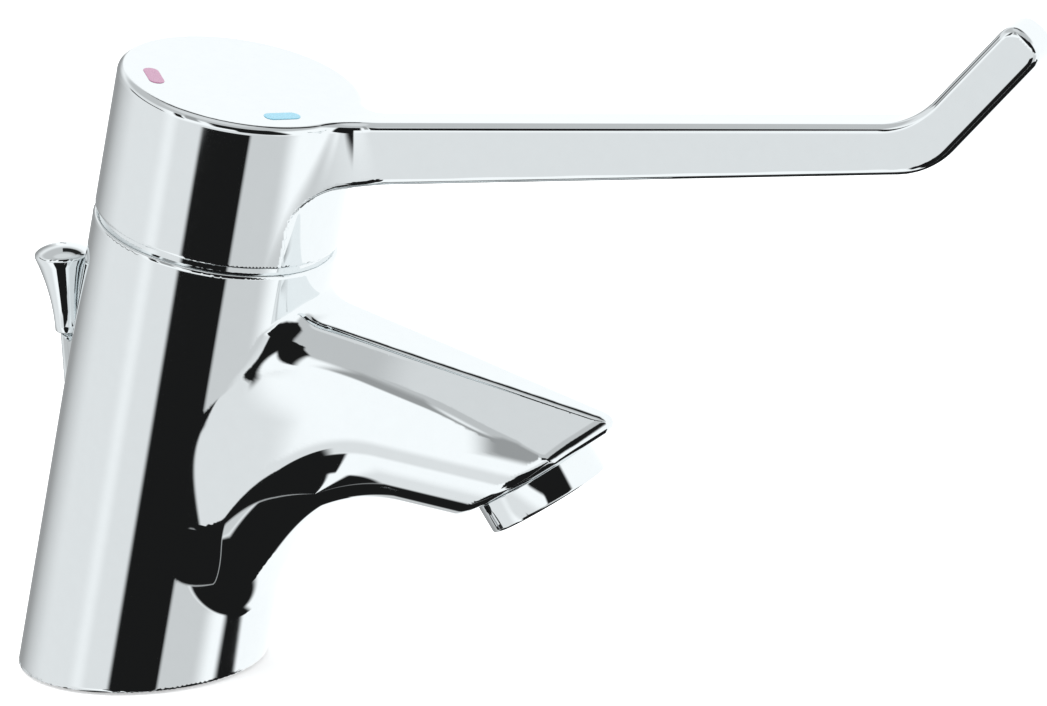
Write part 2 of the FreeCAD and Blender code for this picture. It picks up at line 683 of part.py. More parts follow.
def build_adaptor():
    """Splined bush between the spindle and the handle, dented by the grub screw."""
    adaptor = cylinder(ADAPTOR_R, HUB_LOW_H, ADAPTOR_TOP_H)
    adaptor = adaptor.cut(spline(SPLINE_TIP_R + SPLINE_FIT, SPLINE_ROOT_R + SPLINE_FIT,
                                 HUB_LOW_H - 1.0, SPLINE_TOP_H))
    return leaned(adaptor).cut(across(SCREW_R + SCREW_FIT, ADAPTOR_R - SCREW_BITE, HUB_R, SCREW_H))


def build_screw():
    """Grub screw with a hexagon socket in its outer end."""
    low = ADAPTOR_R - SCREW_BITE
    socket = hexagon(2 * SCREW_HEX_R * cos(30.0), SCREW_LENGTH - SCREW_HEX_DEPTH, SCREW_LENGTH + 1.0)
    screw = cylinder(SCREW_R, 0.0, SCREW_LENGTH).cut(socket)
    screw.rotate(ORIGIN, Vector(0, 1, 0), -90.0)
    screw.translate(Vector(-low, 0, SCREW_H))
    return leaned(screw)


def build_plug():
    """Plug that ends flush with the cap's round wall."""
    cap = leaned(cylinder(CAP_R, CAP_LOW_H, CAP_TOP_H))
    return across(PLUG_R, PLUG_LOW_R, CAP_R + 1.0, SCREW_H).common(cap)


def holed(shape, radius):
    """The shape with one hole in the middle and rings of holes round it."""
    places = [(0.0, 0.0)]
    for ring in range(1, JET_RINGS + 1):
        for i in range(6 * ring):
            angle = 60.0 * i / ring
            places.append((ring * JET_PITCH * cos(angle), ring * JET_PITCH * sin(angle)))
    drills = [cylinder(radius, -AERATOR_THREAD, AERATOR_RING, x, y) for x, y in places]
    return shape.cut(Part.makeCompound(drills))


def build_aerator():
    """Screwed ring, washer, jet insert and strainer, drawn with +Z the way the water leaves."""
    ring = cylinder(AERATOR_R, 0.0, AERATOR_RING)
    ring = ring.makeChamfer(AERATOR_EDGE, circular_edges(ring, AERATOR_R, AERATOR_RING))
    ring = ring.fuse(cylinder(AERATOR_THREAD_R, -AERATOR_THREAD, 0.0))
    ring = ring.cut(cylinder(AERATOR_BORE_R, -AERATOR_THREAD - 1.0, AERATOR_RING - AERATOR_LIP))
    ring = ring.cut(cylinder(AERATOR_LIP_R, 0.0, AERATOR_RING + 1.0))
    washer = tube(AERATOR_THREAD_R, AERATOR_CHAMBER_R, -AERATOR_SEAT, -AERATOR_THREAD)
    insert_r = AERATOR_BORE_R - JET_FIT
    plate_low = AERATOR_RING - AERATOR_LIP - JET_PLATE_T
    insert = holed(cylinder(insert_r, plate_low, plate_low + JET_PLATE_T), JET_HOLE_R)
    flat_r = insert_r - SCREEN_RIM
    dome_top = plate_low - SCREEN_DOME
    bend_r = flat_r / math.sqrt(2.0)
    screen = turned([
        line((0, dome_top - SCREEN_T), (0, dome_top)),
        arc((0, dome_top), (bend_r, plate_low - SCREEN_DOME / 2.0), (flat_r, plate_low)),
        line((flat_r, plate_low), (insert_r, plate_low)),
        line((insert_r, plate_low), (insert_r, plate_low - SCREEN_T)),
        line((insert_r, plate_low - SCREEN_T), (flat_r, plate_low - SCREEN_T)),
        arc((flat_r, plate_low - SCREEN_T), (bend_r, plate_low - SCREEN_T - SCREEN_DOME / 2.0),
            (0, dome_top - SCREEN_T)),
    ])
    screen = holed(screen, SCREEN_HOLE_R)
    return {
        "aerator_housing": ring, "aerator_washer": washer, "jet_insert": insert, "filter_screen": screen,
    }


def build_knob():
    """Waisted knob with a domed top, bored from below for the rod."""
    middle_z = (KNOB_LOW_Z + KNOB_RIM_Z) / 2.0
    middle_r = (KNOB_LOW_R + KNOB_TOP_R) / 2.0 - KNOB_WAIST
    shoulder_z = KNOB_RIM_Z + KNOB_RIM
    dome = KNOB_TOP_Z - shoulder_z
    dome_r = (KNOB_TOP_R ** 2 + dome ** 2) / (2.0 * dome)
    dome_z = KNOB_TOP_Z - dome_r + math.sqrt(dome_r ** 2 - KNOB_TOP_R ** 2 / 4.0)
    knob = turned([
        line((0, KNOB_LOW_Z), (KNOB_LOW_R, KNOB_LOW_Z)),
        arc((KNOB_LOW_R, KNOB_LOW_Z), (middle_r, middle_z), (KNOB_TOP_R, KNOB_RIM_Z)),
        line((KNOB_TOP_R, KNOB_RIM_Z), (KNOB_TOP_R, shoulder_z)),
        arc((KNOB_TOP_R, shoulder_z), (KNOB_TOP_R / 2.0, dome_z), (0, KNOB_TOP_Z)),
        line((0, KNOB_TOP_Z), (0, KNOB_LOW_Z)),
    ])
    knob = knob.cut(cylinder(ROD_R, KNOB_LOW_Z - 1.0, KNOB_LOW_Z + KNOB_SOCKET))
    knob.translate(Vector(ROD_X, 0, 0))
    return knob


def horseshoe(low, high):
    """Under-deck clamp, open towards the back for hoses and rod, with a hole for the stud."""
    slot = Part.makeBox(BIG, 2 * CLAMP_SLOT_Y, BIG, Vector(CLAMP_SLOT_X - BIG, -CLAMP_SLOT_Y, low - 1.0))
    return cylinder(CLAMP_R, low, high).cut(slot).cut(
        cylinder(STUD_R + CLAMP_HOLE_FIT, low - 1.0, high + 1.0, STUD_X))


def build_fixing():
    """Everything that holds the tap on the deck, and the base gasket."""
    gasket_low = -DECK_GAP - CLAMP_RUBBER_T
    plate_low = gasket_low - CLAMP_PLATE_T
    washer_low = plate_low - STUD_WASHER_T
    nut_low = washer_low - STUD_NUT_T
    nut = hexagon(STUD_NUT_FLATS, nut_low, washer_low, STUD_X)
    return {
        "base_gasket": tube(GASKET_R + GASKET_WIDTH / 2, GASKET_R - GASKET_WIDTH / 2, 0.0, GASKET_T),
        "mounting_stud": cylinder(STUD_R, STUD_END_Z, POCKET_H + STUD_DEPTH, STUD_X),
        "clamp_gasket": horseshoe(gasket_low, -DECK_GAP),
        "clamp_plate": horseshoe(plate_low, gasket_low),
        "stud_washer": tube(WASHER_R, STUD_R + CLAMP_HOLE_FIT, washer_low, plate_low, STUD_X),
        "stud_nut": nut.cut(cylinder(STUD_R + THREAD_FIT, nut_low - 1.0, washer_low + 1.0, STUD_X)),
    }


def save(shape, name):
    for solid in shape.Solids:
        if not solid.isValid():
            print("not valid:", name)
    print("%-18s solids %d  volume %.1f" % (name, len(shape.Solids), shape.Volume))
    shape.exportStep("parts/%s.step" % name)


save(build_body(), "body")
save(build_lever(build_lever_shell()), "lever_handle")
save(mark_shape(-1, 0.0), "hot_mark")
save(mark_shape(1, 0.0), "cold_mark")
save(leaned(tube(TRIM_RING_R, TRIM_RING_BORE_R, SEAM_H, SEAM_H + RING_H)), "trim_ring")
for name, shape in {**build_cartridge(), **build_stem()}.items():
    save(leaned(shape), name)
save(leaned(build_nut()), "retaining_nut")
save(build_adaptor(), "spline_adaptor")
save(build_screw(), "handle_screw")
save(build_plug(), "screw_plug")
for name, shape in build_aerator().items():
    save(at_outlet(shape), name)
save(build_knob(), "lift_knob")
save(cylinder(ROD_R, ROD_END_Z, KNOB_LOW_Z + KNOB_SOCKET, ROD_X), "lift_rod")
save(tube(GUIDE_R, ROD_R + GUIDE_RUN, POCKET_H, POCKET_H + GUIDE_T, ROD_X), "rod_guide")
for name, shape in build_fixing().items():
    save(shape, name)
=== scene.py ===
import json
import math

import bpy
import numpy as np
from mathutils import Matrix, Vector


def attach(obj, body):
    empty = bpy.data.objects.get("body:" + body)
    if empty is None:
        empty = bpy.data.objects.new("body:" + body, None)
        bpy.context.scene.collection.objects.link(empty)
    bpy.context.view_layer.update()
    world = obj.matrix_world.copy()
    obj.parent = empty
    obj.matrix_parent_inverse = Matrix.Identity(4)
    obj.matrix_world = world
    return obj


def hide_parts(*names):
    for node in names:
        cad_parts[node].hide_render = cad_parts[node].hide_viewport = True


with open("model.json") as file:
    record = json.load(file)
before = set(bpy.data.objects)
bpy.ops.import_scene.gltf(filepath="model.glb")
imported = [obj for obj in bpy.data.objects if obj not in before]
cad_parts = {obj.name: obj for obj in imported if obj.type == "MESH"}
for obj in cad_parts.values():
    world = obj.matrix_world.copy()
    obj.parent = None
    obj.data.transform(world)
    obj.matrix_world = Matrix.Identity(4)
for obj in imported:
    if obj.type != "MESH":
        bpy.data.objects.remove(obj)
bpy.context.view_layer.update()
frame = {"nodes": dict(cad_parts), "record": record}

# Lengths below are in millimetres until a mesh is made. x points forward, y to the side and z up.
# A name that ends in H is a height along the leaning axis, in R a radius, in RISE degrees.
MM = 0.001

# Leaning column
LEAN = math.radians(14.2)
BODY_R = 27.0
SEAM_H = 103.3
SEAM_EDGE = 0.7
BASE_EDGE = 0.6
POCKET_R = 22.4
POCKET_Z = 34.0
CARTRIDGE_R = 17.65
CARTRIDGE_LOW_H = 66.0
CARTRIDGE_TOP_H = 92.0
NUT_R = 19.55
NUT_LOW_H = 90.35
ROD_X = -12.3
ROD_BORE_R = 2.2
OPEN_H = 200.0

# Cap
CAP_R = 26.9
CAP_LOW_H = 104.9
CAP_LOW_EDGE = 0.4
CAP_TOP_H = 137.6
CAP_ROOF_H = 129.6
CAP_BORE_R = 23.4
HUB_R = 12.5
HUB_LOW_H = 108.8
ADAPTOR_R = 8.65
ADAPTOR_TOP_H = 123.0
PLUG_R = 3.22
PLUG_H = 117.0
PLUG_DEPTH = 0.5
MARK_RING_R = 19.6
MARK_TURN = math.radians(51.5)
MARK_HALF = 2.55
MARK_END_R = 1.75

# Lever arm, its top and its underside each a line from a point (x, z)
ARM_HALF = 5.25
ARM_TOP = (60.0, 126.5)
ARM_RISE = 2.85
ARM_LOW = (60.0, 112.4)
ARM_LOW_RISE = 4.2
ARM_MIDDLE_X = 120.0
ARM_BEND_X = 189.5
ARM_EDGE = 1.7
LEAST_EDGE = 0.02
DISC_VALLEY_R = 45.0
BEND_VALLEY_R = 19.0
BEND_RIDGE_R = 20.0
TIP_X = 150.0
TIP_RISE = 45.5
TIP_REACH = 261.4
TIP_DEPTH = 10.2
TIP_ROUND = 4.8

# Arm's root, which flares wider the lower it meets the cap
ROOT_FORWARD = 22.0
ROOT_VALLEY_R = 9.0
ROOT_BLEND = 45.0
ROOT_BLEND_TOP = 6.0
ROOT_BLEND_H = 101.4
ROOT_BLEND_SPAN = 39.7

# Spout, its top and its belly each a falling line from a point (x, z)
SPOUT_TOP = (95.0, 68.9)
SPOUT_TOP_FALL = math.radians(17.3)
SPOUT_TOP_EDGE = 3.5
SPOUT_BELLY = (78.0, 39.3)
SPOUT_BELLY_FALL = math.radians(9.4)
SPOUT_HALF = 15.6
SPOUT_START = 2.0
FLAT_X = 62.0
FLAT_HALF = 7.8
FLAT_TAPER = 0.11
FLAT_LIMITS = (1.3, 9.5)
FACET_INSET = 2.3
FACET_DROP = 6.4
FACET_EDGE = 5.0
FACET_TIP_DROP = 1.5
FACET_TIP_SPAN = 18.0
FACING_SPAN = 6.0

# Spout's root, which widens and drops towards the column
WIDEN_X = 74.7
WIDEN_SLANT = 0.15
WIDEN_SPAN = 36.0
WIDEN_LIMIT = 1.2
WIDEN_GIRTH = 6.4
WIDEN_BELLY = 16.0
WIDEN_CORNER = 4.5
WIDEN_FACET = 1.8
WIDEN_FACET_DROP = 5.0
WIDEN_FACET_EDGE = 16.0

# Fillet between column and spout
FILLET = 3.7
FILLET_LOW = 14.0
FILLET_LOW_Z = 86.0
FILLET_LOW_SPAN = 24.0
FILLET_LEAST = 0.09
COLUMN_TILT = 0.245

# Outlet
OUTLET = (96.9, 48.7)
OUTLET_TILT = math.radians(29.9)
OUTLET_EDGE = 2.6
OUTLET_EDGE_TOP = 0.74
AERATOR_BORE_R = 12.05
AERATOR_BORE = 8.2

# Grid cells of the two castings
BODY_CELL = 0.75
LEVER_CELL = 0.55
SLICES = 24
SETTLING_STEPS = 4
SETTLING_REACH = 0.6
LEAST_SLOPE = 0.25

# Camera, from the outlines in the photograph
FOCAL_PIXELS = 9000.0
PHOTO_PIXELS = 1047.0
SENSOR = 36.0


def smooth(t):
    """A share from 0 to 1 that starts and ends without a kink."""
    t = np.clip(t, 0.0, 1.0)
    return t * t * (3.0 - 2.0 * t)


def meet(a, b, k):
    """The space inside both shapes, with the edge between them rounded."""
    corner = np.hypot(np.maximum(a + k, 0), np.maximum(b + k, 0))
    return np.minimum(-k, np.maximum(a, b)) + corner


def join(a, b, k):
    """The space inside either shape, with the corner between them filled."""
    corner = np.hypot(np.maximum(k - a, 0), np.maximum(k - b, 0))
    return np.maximum(k, np.minimum(a, b)) - corner


def cut(a, b):
    """The first shape without the second."""
    return np.maximum(a, -b)


def wedge(p, q, corner, n1, n2, radius, convex):
    """Distance to two flat sides that meet at a corner rounded to a radius."""
    u = p - corner[0]
    v = q - corner[1]
    d1 = u * n1[0] + v * n1[1]
    d2 = u * n2[0] + v * n2[1]
    reach = (-radius if convex else radius) / (1.0 + n1[0] * n2[0] + n1[1] * n2[1])
    a = u - (n1[0] + n2[0]) * reach
    b = v - (n1[1] + n2[1]) * reach
    turn = n1[0] * n2[1] - n1[1] * n2[0]
    alpha = (a * n2[1] - b * n2[0]) / turn
    beta = (n1[0] * b - n1[1] * a) / turn
    near = np.hypot(a, b)
    if convex:
        return np.where((alpha >= 0) & (beta >= 0), near - radius, np.maximum(d1, d2))
    return np.where((alpha <= 0) & (beta <= 0), radius - near, np.minimum(d1, d2))


def leaning(x, y, z):
    """Forward distance, height along the leaning axis and distance from it."""
    forward = x * math.cos(LEAN) - z * math.sin(LEAN)
    height = x * math.sin(LEAN) + z * math.cos(LEAN)
    return forward, height, np.hypot(forward, y)


def tilted(forward, height):
    """The point (x, z) at a place of the leaning column's own frame."""
    return (forward * math.cos(LEAN) + height * math.sin(LEAN),
            height * math.cos(LEAN) - forward * math.sin(LEAN))


def upward(rise):
    """Normal on the upper side of a line that rises by so many degrees."""
    return -math.sin(math.radians(rise)), math.cos(math.radians(rise))


def crossing(a, rise_a, b, rise_b):
    """Where two lines meet, each with a point and a rise in degrees."""
    ta = math.tan(math.radians(rise_a))
    tb = math.tan(math.radians(rise_b))
    x = (b[1] - a[1] + a[0] * ta - b[0] * tb) / (ta - tb)
    return x, a[1] + (x - a[0]) * ta


def rod(place, low, high, radius):
    """A round bar about the leaning axis, at a place that leaning() gives."""
    return np.maximum(place[2] - radius, np.maximum(low - place[1], place[1] - high))


# Corners (x, z) where the arm's top leaves the cap's disc and where it bends up to the tip
DISC_RISE = -math.degrees(LEAN)
DISC_CORNER = crossing(tilted(0.0, CAP_TOP_H), DISC_RISE, ARM_TOP, ARM_RISE)
BEND_CORNER = (ARM_BEND_X,
               ARM_TOP[1] + (ARM_BEND_X - ARM_TOP[0]) * math.tan(math.radians(ARM_RISE)))


def lever_solid(x, y, z):
    """Round cap that flows into a flat arm with an upturned end."""
    side = np.abs(y)
    forward, height, r = leaning(x, y, z)
    tip = (math.cos(math.radians(TIP_RISE)), math.sin(math.radians(TIP_RISE)))
    tip_low = (BEND_CORNER[0] + TIP_DEPTH * tip[1], BEND_CORNER[1] - TIP_DEPTH * tip[0])
    under = crossing(ARM_LOW, ARM_LOW_RISE, tip_low, TIP_RISE)
    foot = tilted(ROOT_FORWARD, CAP_LOW_H)
    root = crossing(ARM_LOW, ARM_LOW_RISE, foot, 90.0 - math.degrees(LEAN))
    n_arm = upward(ARM_RISE)
    n_tip = upward(TIP_RISE)
    n_low = (-upward(ARM_LOW_RISE)[0], -upward(ARM_LOW_RISE)[1])
    n_root = (math.cos(LEAN), -math.sin(LEAN))
    top = np.where(x < ARM_MIDDLE_X,
                   wedge(x, z, DISC_CORNER, upward(DISC_RISE), n_arm, DISC_VALLEY_R, False),
                   wedge(x, z, BEND_CORNER, n_arm, n_tip, BEND_VALLEY_R, False))
    low = np.where(x < ARM_MIDDLE_X,
                   wedge(x, z, root, n_root, n_low, ROOT_VALLEY_R, False),
                   wedge(x, z, under, n_low, (-n_tip[0], -n_tip[1]), BEND_RIDGE_R, True))
    share = np.clip((height - ROOT_BLEND_H) / ROOT_BLEND_SPAN, 0.0, 1.0)
    blend = ROOT_BLEND - (ROOT_BLEND - ROOT_BLEND_TOP) * share
    centre = np.sqrt((CAP_R + blend) ** 2 - (ARM_HALF + blend) ** 2)
    cap = r - CAP_R
    arm = side - ARM_HALF
    u = forward - centre
    v = side - (ARM_HALF + blend)
    hollow = (u < 0) & (v < 0) & ((ARM_HALF + blend) * u - centre * v > 0)
    flare = np.where(forward < 0, cap, np.minimum(cap, arm))
    flare = np.where(hollow, blend - np.hypot(u, v), flare)
    ridge = np.clip(np.maximum(cap - flare, 0.0) * 0.5, LEAST_EDGE, ARM_EDGE)
    shell = meet(flare, np.minimum(low, cap), ridge)
    end = x * tip[0] + z * tip[1] - TIP_REACH
    shell = np.where(x > TIP_X, meet(flare, meet(low, end, TIP_ROUND), ARM_EDGE), shell)
    shell = meet(shell, meet(top, end, TIP_ROUND), ARM_EDGE)
    return meet(shell, CAP_LOW_H - height, CAP_LOW_EDGE)


def valley(x, corner, rise_a, rise_b, radius):
    """Height of two lines that meet at a corner in a rounded valley, rising in degrees."""
    a = math.radians(rise_a)
    b = math.radians(rise_b)
    reach = radius * math.tan((b - a) / 2)
    start = corner[0] - reach * math.cos(a)
    centre_x = start - radius * math.sin(a)
    centre_z = corner[1] - reach * math.sin(a) + radius * math.cos(a)
    hollow = centre_z - np.sqrt(np.maximum(radius ** 2 - (x - centre_x) ** 2, 0.0))
    lines = corner[1] + (x - corner[0]) * np.where(x < corner[0], math.tan(a), math.tan(b))
    return np.where((x > start) & (x < corner[0] + reach * math.cos(b)), hollow, lines)


def lever_level(x, z):
    """Layers that run along the cap's top, the arm's top and the tip's top."""
    return z + np.where(x < ARM_MIDDLE_X,
                        valley(x, DISC_CORNER, DISC_RISE, ARM_RISE, DISC_VALLEY_R),
                        valley(x, BEND_CORNER, ARM_RISE, TIP_RISE, BEND_VALLEY_R))


def body_level(x, z):
    """Layers that turn from the flat base to the leaning joint."""
    return z * (1.0 - x * math.sin(LEAN) / SEAM_H)


def lever_form(x, y, z):
    """The lever with the hollow of its cap, the hub's socket and the plug's hole."""
    place = leaning(x, y, z)
    hollow = cut(rod(place, 0.0, CAP_ROOF_H, CAP_BORE_R), rod(place, HUB_LOW_H, OPEN_H, HUB_R))
    form = cut(lever_solid(x, y, z), hollow)
    form = cut(form, rod(place, 0.0, ADAPTOR_TOP_H, ADAPTOR_R))
    hole = np.hypot(y, place[1] - PLUG_H) - PLUG_R
    return cut(form, np.maximum(hole, place[0] + CAP_BORE_R - PLUG_DEPTH))


def past_outlet(x, z):
    """How far a point lies past the outlet's face, and how far along it."""
    past = (x - OUTLET[0]) * math.sin(OUTLET_TILT) - (z - OUTLET[1]) * math.cos(OUTLET_TILT)
    along = (x - OUTLET[0]) * math.cos(OUTLET_TILT) + (z - OUTLET[1]) * math.sin(OUTLET_TILT)
    return past, along


def spout_solid(x, y, z):
    """Narrow flat top, a slanting facet on each side, and a belly that widens to the column.

    Gives the distance and how far the nearest side wall faces up.
    """
    side = np.sqrt(y * y + 0.01)
    forward = leaning(x, y, z)[0]
    root = np.clip((WIDEN_X - x - WIDEN_SLANT * z) / WIDEN_SPAN, 0.0, WIDEN_LIMIT)
    eased = WIDEN_LIMIT - (WIDEN_LIMIT - root) ** 2 / (WIDEN_LIMIT - 1.0)
    root = np.where(root < 1.0, root ** 2, eased)

    # Lines and sizes of the section at this x
    top_z = SPOUT_TOP[1] - (x - SPOUT_TOP[0]) * math.tan(SPOUT_TOP_FALL)
    girth = SPOUT_HALF + WIDEN_GIRTH * root
    corner = SPOUT_HALF - WIDEN_CORNER * root
    inner = girth - corner
    belly = SPOUT_BELLY[1] - (x - SPOUT_BELLY[0]) * math.tan(SPOUT_BELLY_FALL)
    belly = belly - WIDEN_BELLY * root + corner
    flat = np.clip(FLAT_HALF - (x - FLAT_X) * FLAT_TAPER, *FLAT_LIMITS)
    wide = girth - FACET_INSET + WIDEN_FACET * root
    tip_drop = FACET_TIP_DROP * smooth((x - SPOUT_BELLY[0]) / FACET_TIP_SPAN)
    drop = FACET_DROP + WIDEN_FACET_DROP * root + tip_drop

    # Side wall: round below, straight from there to the facet's lower edge
    reach = np.hypot(wide - inner, top_z - drop - belly)
    turn = np.arctan2(top_z - drop - belly, wide - inner)
    turn = turn - np.arccos(np.clip(corner / reach, -1, 1))
    out = np.cos(turn)
    up = np.sin(turn)
    lift = z - belly
    beside = np.maximum(side - inner, 0.0)
    above = lift * out - beside * up > 0
    round_part = np.hypot(beside, lift)
    wall = np.where(above, (side - inner) * out + lift * up, round_part) - corner
    wall_up = np.where(above, up, lift / np.maximum(round_part, 1e-6))

    slope = np.hypot(drop, wide - flat)
    facet = ((side - flat) * drop + (z - top_z) * (wide - flat)) / slope
    facet_edge = FACET_EDGE + WIDEN_FACET_EDGE * root
    form = meet(wall, facet, facet_edge * (1.0 - (out * drop + up * (wide - flat)) / slope))
    top = (z - top_z) * math.cos(SPOUT_TOP_FALL)
    form = meet(form, top, SPOUT_TOP_EDGE * (1.0 - (wide - flat) / slope))
    form = np.maximum(form, SPOUT_START - forward)
    share = smooth((facet - wall) / FACING_SPAN + 0.5)
    facing = np.clip(wall_up + (1.0 - wall_up) * share, -1, 1)
    edge = OUTLET_EDGE * (1.0 + OUTLET_EDGE_TOP * facing)
    return meet(form, past_outlet(x, z)[0], edge), facing


def body_form(x, y, z):
    """Leaning column and spout in one, open below, on top and at the outlet."""
    place = leaning(x, y, z)
    column = meet(place[2] - BODY_R, place[1] - SEAM_H, SEAM_EDGE)
    spout, facing = spout_solid(x, y, z)

    # The fillet shrinks where the spout's side runs along the column's
    along = np.abs(y) * np.sqrt(1.0 - facing ** 2) - COLUMN_TILT * place[0] * facing
    along = along / np.maximum(place[2], 1.0)
    fillet = FILLET + FILLET_LOW * smooth((FILLET_LOW_Z - z) / FILLET_LOW_SPAN)
    form = join(column, spout, fillet * np.clip(1.0 - along, FILLET_LEAST, 1.0))
    form = meet(form, -z, BASE_EDGE)

    form = cut(form, np.maximum(place[2] - POCKET_R, z - POCKET_Z))
    form = cut(form, rod(place, CARTRIDGE_LOW_H, CARTRIDGE_TOP_H, CARTRIDGE_R))
    form = cut(form, rod(place, NUT_LOW_H, OPEN_H, NUT_R))
    past, across = past_outlet(x, z)
    form = cut(form, np.maximum(np.hypot(across, y) - AERATOR_BORE_R, -AERATOR_BORE - past))
    return cut(form, np.hypot(x - ROD_X, y) - ROD_BORE_R)


def slopes(form, places, e=0.02):
    """The field and its gradient at each place."""
    x, y, z = places.T
    return form(x, y, z), np.stack([
        form(x + e, y, z) - form(x - e, y, z),
        form(x, y + e, z) - form(x, y - e, z),
        form(x, y, z + e) - form(x, y, z - e),
    ], 1) / (2 * e)


def surface(form, low, high, step, level):
    """Places, normals and four-sided faces where a field is zero.

    The level bends the grid's layers, so that long edges follow its rows of cells.
    """
    axes = [np.arange(low[i], high[i] + step, step) for i in range(3)]
    values = np.empty([len(a) for a in axes], np.float32)
    for start in range(0, len(axes[0]), SLICES):
        x, y, z = np.meshgrid(axes[0][start:start + SLICES], axes[1], axes[2], indexing="ij")
        values[start:start + SLICES] = form(x, y, level(x, z))
    inside = values < 0

    # One point in each cell that the surface crosses, at the middle of its crossings
    count = np.zeros([len(a) - 1 for a in axes], np.float32)
    total = [np.zeros_like(count) for _ in range(3)]
    for axis in range(3):
        a = np.moveaxis(values, axis, 0)
        s = np.moveaxis(inside, axis, 0)
        crossed = s[1:] != s[:-1]
        share = np.where(crossed, a[:-1] / np.where(crossed, a[:-1] - a[1:], 1.0), 0.0)
        rows, columns = (n - 1 for n in crossed.shape[1:])
        others = [k for k in range(3) if k != axis]
        for i in (0, 1):
            for j in (0, 1):
                part = (slice(None), slice(i, rows + i), slice(j, columns + j))
                met = np.moveaxis(crossed[part], 0, axis)
                way = np.moveaxis(share[part], 0, axis)
                offset = [0.0, 0.0, 0.0]
                offset[others[0]] = i
                offset[others[1]] = j
                count += met
                for k in range(3):
                    total[k] += (way if k == axis else offset[k]) * met
    cells = np.argwhere(count > 0)
    at = tuple(cells.T)
    index = -np.ones(count.shape, np.int64)
    index[at] = np.arange(len(cells))
    places = np.stack([(cells[:, k] + total[k][at] / count[at]) * step + low[k]
                       for k in range(3)], 1)

    # One face round each grid edge that crosses the surface, turned outwards
    faces = []
    for axis in range(3):
        order = (axis, (axis + 1) % 3, (axis + 2) % 3)
        s = np.moveaxis(inside, order, (0, 1, 2))
        g = np.moveaxis(index, order, (0, 1, 2))
        here = s[:-1, 1:-1, 1:-1]
        ahead = s[1:, 1:-1, 1:-1]
        for mask, turn in ((here & ~ahead, 1), (~here & ahead, -1)):
            i, j, k = np.nonzero(mask)
            loop = [g[i, j, k], g[i, j + 1, k], g[i, j + 1, k + 1], g[i, j, k + 1]]
            faces.append(np.stack(loop[::turn], 1))

    # The points settle on the true surface
    places = places.astype(np.float64)
    places[:, 2] = level(places[:, 0], places[:, 2])
    for _ in range(SETTLING_STEPS):
        value, slope = slopes(form, places)
        move = value / np.maximum((slope ** 2).sum(1), LEAST_SLOPE)
        move = np.clip(move, -SETTLING_REACH * step, SETTLING_REACH * step)
        places -= slope * move[:, None]
    slope = slopes(form, places)[1]
    return places, slope / np.linalg.norm(slope, axis=1)[:, None], np.concatenate(faces)


def shown(name, mesh, material, body, node):
    """Puts a finished mesh in the scene, riding on a body in place of a solid node."""
    piece = bpy.data.objects.new(name, mesh)
    bpy.context.scene.collection.objects.link(piece)
    mesh.materials.append(material)
    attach(piece, body)
    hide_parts(node)


def cast(name, form, low, high, step, level):
    """Mesh of an implicit form, smooth shaded with its own normals."""
    places, normals, faces = surface(form, low, high, step, level)
    mesh = bpy.data.meshes.new(name)
    mesh.from_pydata((places * MM).tolist(), [], faces.tolist())
    mesh.update()
    mesh.shade_smooth()
    mesh.normals_split_custom_set_from_vertices(normals.tolist())
    return mesh


def lathe(name, outline, turns, place):
    """Mesh turned about +Z from a closed outline of (radius, height), moved by a matrix."""
    angle = np.arange(turns) * 2 * np.pi / turns
    radius, height = np.array(outline).T
    rings = np.stack([
        radius[:, None] * np.cos(angle), radius[:, None] * np.sin(angle),
        np.repeat(height[:, None], turns, 1),
    ], 2).reshape(-1, 3)
    count = len(outline)
    faces = []
    for i in range(count):
        here = i * turns
        after = (i + 1) % count * turns
        for j in range(turns):
            ahead = (j + 1) % turns
            faces.append((here + j, here + ahead, after + ahead, after + j))
    mesh = bpy.data.meshes.new(name)
    mesh.from_pydata((rings * MM).tolist(), [], faces)
    mesh.transform(place)
    mesh.validate()
    mesh.update()
    mesh.shade_smooth()
    return mesh


def rounded(corners, steps=5):
    """A closed outline from (radius, height, rounding), its corners turned into short arcs."""
    points = []
    count = len(corners)
    for i in range(count):
        here = np.array(corners[i][:2], float)
        before = np.array(corners[i - 1][:2], float) - here
        after = np.array(corners[(i + 1) % count][:2], float) - here
        size = corners[i][2]
        if size <= 0:
            points.append(tuple(here))
            continue
        a = before / np.linalg.norm(before)
        b = after / np.linalg.norm(after)
        half = math.acos(np.clip(a @ b, -1, 1)) / 2
        centre = here + (a + b) / np.linalg.norm(a + b) * size / math.sin(half)
        start = here + a * size / math.tan(half) - centre
        end = here + b * size / math.tan(half) - centre
        for k in range(steps + 1):
            t = k / steps
            way = start * (1 - t) + end * t
            points.append(tuple(centre + way / np.linalg.norm(way) * size))
    return points


def socket(tree, kind, *inputs, **settings):
    """Adds a node, sets its own settings and feeds its inputs in order."""
    node = tree.nodes.new(kind)
    for key, value in settings.items():
        setattr(node, key, value)
    for i, value in enumerate(inputs):
        if isinstance(value, bpy.types.NodeSocket):
            tree.links.new(value, node.inputs[i])
        else:
            node.inputs[i].default_value = value
    return node


def maths(tree, operation, *inputs):
    """The result of a sum on sockets or numbers."""
    return socket(tree, "ShaderNodeMath", *inputs, operation=operation).outputs[0]


def rise(tree, value, start, end):
    """0 below the start, 1 above the end, with a smooth change between them."""
    return socket(tree, "ShaderNodeMapRange", value, start, end, 0.0, 1.0,
                  interpolation_type="SMOOTHSTEP").outputs[0]


def between(tree, value, start, low, high, end):
    """1 from low to high, falling to 0 at the start and the end."""
    return maths(tree, "MULTIPLY", rise(tree, value, start, low),
                 maths(tree, "SUBTRACT", 1.0, rise(tree, value, high, end)))


